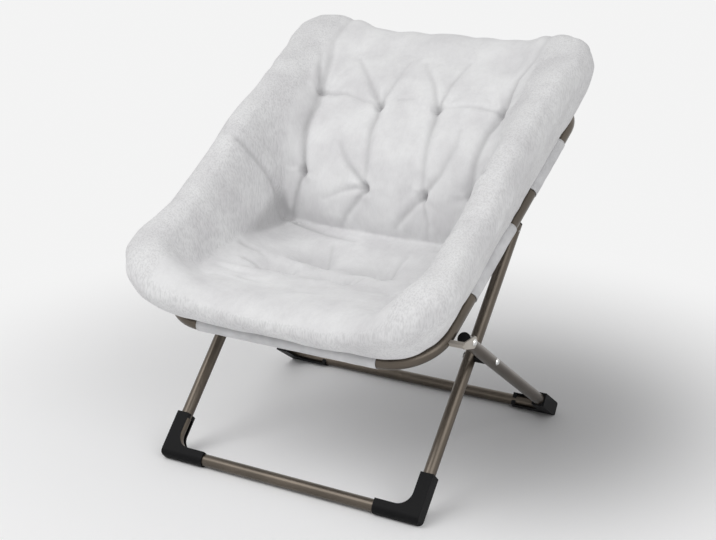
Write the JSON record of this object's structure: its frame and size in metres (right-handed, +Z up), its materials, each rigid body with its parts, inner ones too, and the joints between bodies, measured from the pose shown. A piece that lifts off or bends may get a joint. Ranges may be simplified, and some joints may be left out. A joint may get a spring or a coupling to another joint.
{
  "type": "folding saucer chair",
  "caption": "Folding saucer chair: padded fur bucket seat on a tilted tube ring that closes like a shell, carried by two crossed U-shaped leg frames with clipped plastic feet.",
  "frame": {"origin": "on the floor under the middle of the object's bounding box", "axes": "+Y from the front of the chair to its back, +Z up, +X to the right of a viewer who faces the seat"},
  "size_m": [0.699, 0.8482, 0.8161],
  "materials": {
    "frame_metal": "satin metallic bronze paint",
    "bracket_metal": "light bronze plate",
    "black_plastic": "matte black moulded",
    "rivet_steel": "bright zinc",
    "sleeve_cloth": "thin woven cloth",
    "fur": "short pile faux fur over padding"
  },
  "bodies": {
    "front_legs": {"front_leg_frame": "frame_metal", "front_foot_right": "black_plastic", "front_foot_left": "black_plastic", "front_cap_right": "black_plastic", "front_cap_left": "black_plastic", "cross_bolt_right": "rivet_steel", "cross_bolt_left": "rivet_steel", "cross_spacer_right": "black_plastic", "cross_spacer_left": "black_plastic"},
    "rear_legs": {"rear_leg_frame": "frame_metal", "rear_foot_right": "black_plastic", "rear_foot_left": "black_plastic", "rear_cap_right": "black_plastic", "rear_cap_left": "black_plastic", "ear_stub_right": "rivet_steel", "ear_stub_left": "rivet_steel"},
    "rear_ring": {"rear_ring_half": "frame_metal", "ring_pin_right": "rivet_steel", "ring_pin_left": "rivet_steel", "hanger_right": "frame_metal", "hanger_left": "frame_metal", "hanger_rivet_right": "rivet_steel", "hanger_rivet_left": "rivet_steel", "side_sleeve_right": "sleeve_cloth", "side_sleeve_left": "sleeve_cloth", "upper_sleeve_right": "sleeve_cloth", "upper_sleeve_left": "sleeve_cloth", "side_wing_right": "fur", "side_wing_left": "fur", "top_sleeve": "sleeve_cloth", "back_pad": "fur", "top_roll": "fur"},
    "front_ring": {"front_ring_half": "frame_metal", "ear_right": "bracket_metal", "ear_left": "bracket_metal", "ear_rivet_right": "rivet_steel", "ear_rivet_left": "rivet_steel", "front_sleeve": "sleeve_cloth", "seat_pad": "fur", "front_roll": "fur"}
  },
  "joints": [
    {"name": "leg_cross", "type": "hinge", "parent": "front_legs", "child": "rear_legs", "pos_m": [0, -0.11367, 0.25286], "axis": [-1, 0, 0], "range_deg": [0, 38.06]},
    {"name": "back_pivot", "type": "hinge", "parent": "front_legs", "child": "rear_ring", "pos_m": [0, 0.09017, 0.45741], "axis": [1, 0, 0], "range_deg": [0, 27.91]},
    {"name": "ring_hinge", "type": "hinge", "parent": "rear_ring", "child": "front_ring", "pos_m": [0, -0.14436, 0.40448], "axis": [-1, 0, 0], "range_deg": [0, 120], "deforming": ["side_wing_right", "side_wing_left", "side_sleeve_right", "side_sleeve_left"]}
  ],
  "couplings": [
    {"joint": "leg_cross", "follows": "ring_hinge", "ratio": 0.31721},
    {"joint": "back_pivot", "follows": "ring_hinge", "ratio": 0.23258}
  ]
}
